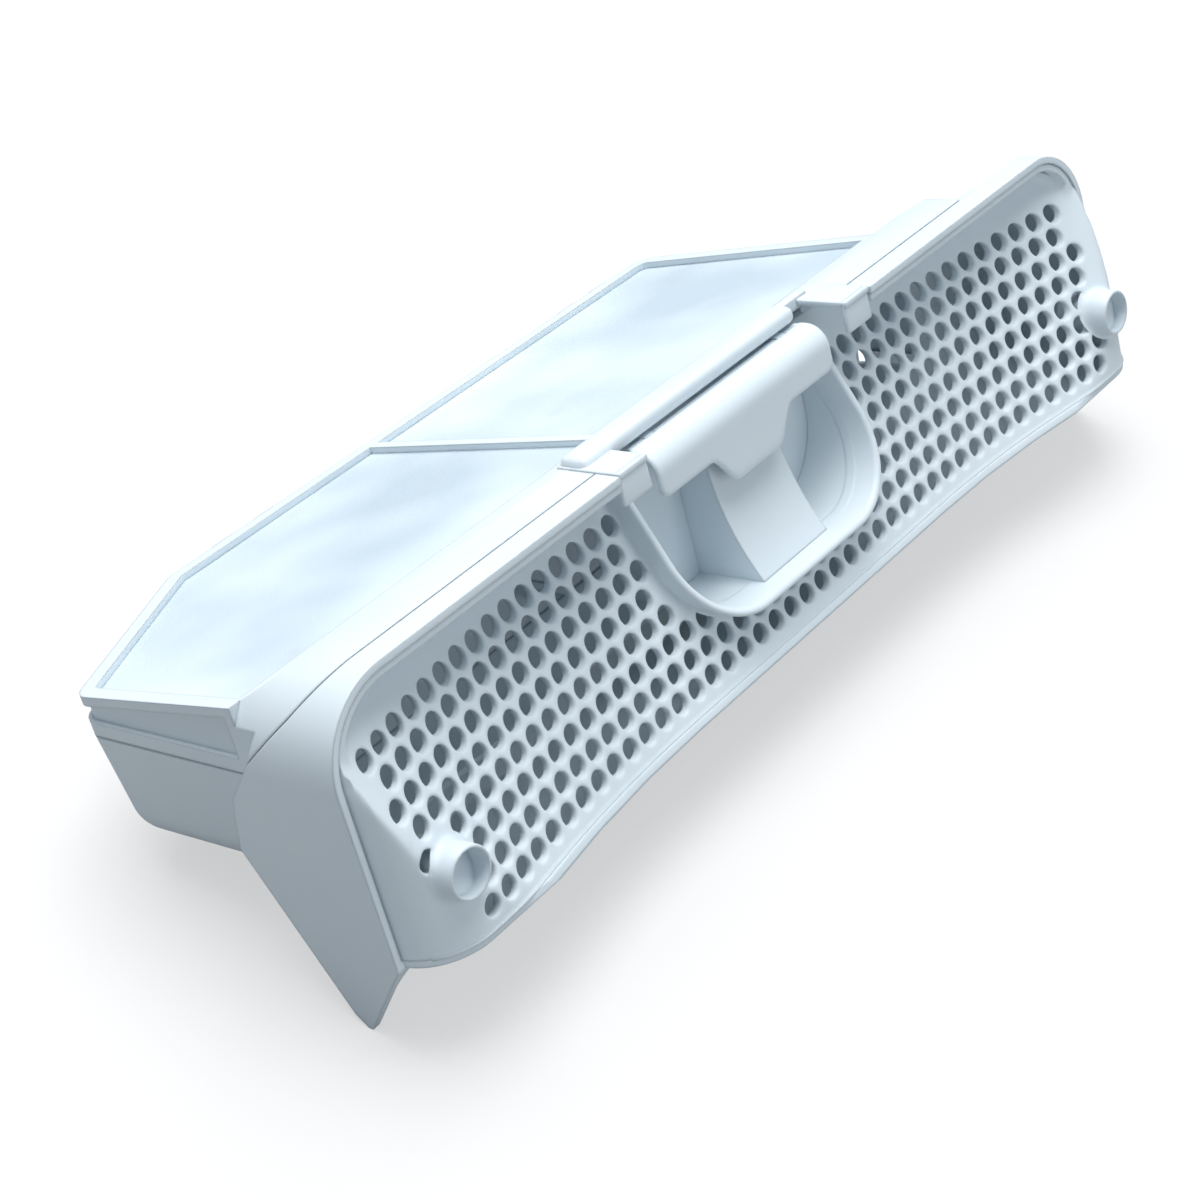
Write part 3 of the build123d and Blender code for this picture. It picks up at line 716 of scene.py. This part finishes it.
# A sheet that fills its window, still at the edge and lightly slack in the middle.
def buildCloth(node, material, phase):
    outline, normal = clothOutline(node)
    flatLoop = [Vector((p.x, p.y)) for p in outline]
    sides = list(zip(flatLoop, flatLoop[1:] + flatLoop[:1]))
    lows, highs = ([pick(p[k] for p in flatLoop) for k in range(2)] for pick in (min, max))
    step = clothSheet["step"]

    def edgeGap(p):
        shares = [max(0.0, min(1.0, (p - a).dot(b - a) / (b - a).length_squared)) for a, b in sides]
        return min((p - a - (b - a) * along).length for (a, b), along in zip(sides, shares))

    def inside(p):
        crossed = [(a.y > p.y) != (b.y > p.y) and p.x < a.x + (p.y - a.y) * (b.x - a.x) / (b.y - a.y)
                   for a, b in sides]
        return sum(crossed) % 2 == 1

    grid = [Vector((x, y)) for x in np.arange(lows[0] + step / 2, highs[0], step)
            for y in np.arange(lows[1] + step / 2, highs[1], step)]
    inner = [p for p in grid if inside(p) and edgeGap(p) > clothSheet["fromEdge"]]
    edges = [(k, (k + 1) % len(flatLoop)) for k in range(len(flatLoop))]
    flat, _, faces, *_ = delaunay_2d_cdt([p / mm for p in flatLoop + inner], edges, [], 1,
                                         clothSheet["netTolerance"])
    base, points = outline[0], []
    for x, y in (p * mm for p in flat):
        z = base.z - (normal.x * (x - base.x) + normal.y * (y - base.y)) / normal.z
        fade = min(1.0, edgeGap(Vector((x, y))) / clothSheet["edge"])
        wave = math.sin(x / clothSheet["waveLong"] * 2 * math.pi + phase + y / clothSheet["waveShort"])
        wave += clothSheet["secondWave"] * math.sin(y / clothSheet["waveLong"] * 2 * math.pi + 2 * phase)
        share = fade * fade * (3 - 2 * fade) * (clothSheet["sagMean"] + clothSheet["sagSpread"] * wave)
        points.append((x, y, z - clothSheet["sag"] * share - clothSheet["thickness"] / 2))
    mesh = meshFrom(node + "Finish", points, faces)
    mesh.transform(slotFrame)
    if sum(polygon.normal.z for polygon in mesh.polygons) < 0:
        mesh.flip_normals()
    made = addPiece(node + "Finish", mesh, bodyOf[node], material)
    solid = made.modifiers.new("thickness", "SOLIDIFY")
    solid.thickness, solid.offset = clothSheet["thickness"], 0
    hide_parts(node)
    width, length = highs[0] - lows[0], (highs[1] - lows[1]) / normal.z


whitePlastic, filterCloth, pinPlastic = plasticMaterial(), clothMaterial(), pinMaterial()
bodyOf = {node: body for body, members in frame["record"]["behaviour"]["bodies"].items() for node in members}
clothPhase = 1.3

buildGrille(whitePlastic)
dressNode("filter_body", whitePlastic)
dressNode("handle_pocket", whitePlastic)
dressNode("lid_frame", whitePlastic, hookCuts(), lidExtras())
buildFlap(whitePlastic)
print("mouldings made", flush=True)
for order, node in enumerate(("lid_mesh_left", "lid_mesh_right", "tub_mesh_left", "tub_mesh_right")):
    buildCloth(node, filterCloth, clothPhase * order)
print("cloth made", flush=True)
for node in ("latch_pin", "hinge_pin_left", "hinge_pin_right"):
    dressNode(node, pinPlastic)
print("pins made", flush=True)


stage = dict(floorHalf=4, floorColor=(0.35, 0.35, 0.35, 1), floorRoughness=0.9, floorSeen=(0.54, 0.54, 0.54),
             skyColor=(0.81, 0.91, 1.0, 1), skyStrength=0.40)
lamps = dict(overhead=dict(place=(0.18, 0.32, 1.45), target=(0, 0, 0), size=1.3, power=29.5),
             front=dict(place=(0.3, -1.6, 0.5), target=(0, 0, 0.04), size=1.0, power=4.0))
view = dict(place=(-458.9 * mm, -398.2 * mm, 299.3 * mm), right=(0.611, -0.755, -0.239),
            down=(-0.491, -0.125, -0.862), lens=74.82, sensor=36.0)


# Pale floor that the camera sees brighter than it lights the part.
def buildFloor():
    half = stage["floorHalf"]
    corners = [(-half, -half, 0), (half, -half, 0), (half, half, 0), (-half, half, 0)]
    mesh = meshFrom("floor", corners, [(0, 1, 2, 3)])
    finish = Finish("floor")
    finish.paint("Base Color", stage["floorColor"])
    finish.paint("Roughness", stage["floorRoughness"])
    finish.paint("Emission Strength", 1)
    seen = finish.node("ShaderNodeLightPath", {}, {}, "Is Camera Ray")
    finish.paint("Emission Color", finish.mix(seen, (0, 0, 0), stage["floorSeen"]))
    mesh.materials.append(finish.material)
    floor = bpy.data.objects.new("floor", mesh)
    scene.collection.objects.link(floor)


def addLamp(name):
    values = lamps[name]
    data = bpy.data.lights.new(name, "AREA")
    data.size, data.energy = values["size"], values["power"]
    lamp = bpy.data.objects.new(name, data)
    scene.collection.objects.link(lamp)
    lamp.location = values["place"]
    aim = Vector(values["target"]) - Vector(values["place"])
    lamp.rotation_euler = aim.to_track_quat("-Z", "Y").to_euler()


# The camera stands where the photograph was taken from, as seen from the filter's own frame.
def addCamera():
    data = bpy.data.cameras.new("camera")
    data.lens, data.sensor_width = view["lens"], view["sensor"]
    camera = bpy.data.objects.new("camera", data)
    scene.collection.objects.link(camera)
    right, up = Vector(view["right"]).normalized(), -Vector(view["down"])
    up = (up - right * up.dot(right)).normalized()
    turn = Matrix((right, up, right.cross(up))).transposed().to_4x4()
    camera.matrix_world = slotFrame @ Matrix.Translation(view["place"]) @ turn
    scene.camera = camera


buildFloor()
for name in lamps:
    addLamp(name)
addCamera()
world = bpy.data.worlds.new("world")
world.use_nodes = True
background = world.node_tree.nodes["Background"]
background.inputs["Color"].default_value = stage["skyColor"]
background.inputs["Strength"].default_value = stage["skyStrength"]
scene.world = world
scene.view_settings.view_transform = "Standard"
print("stage made", flush=True)
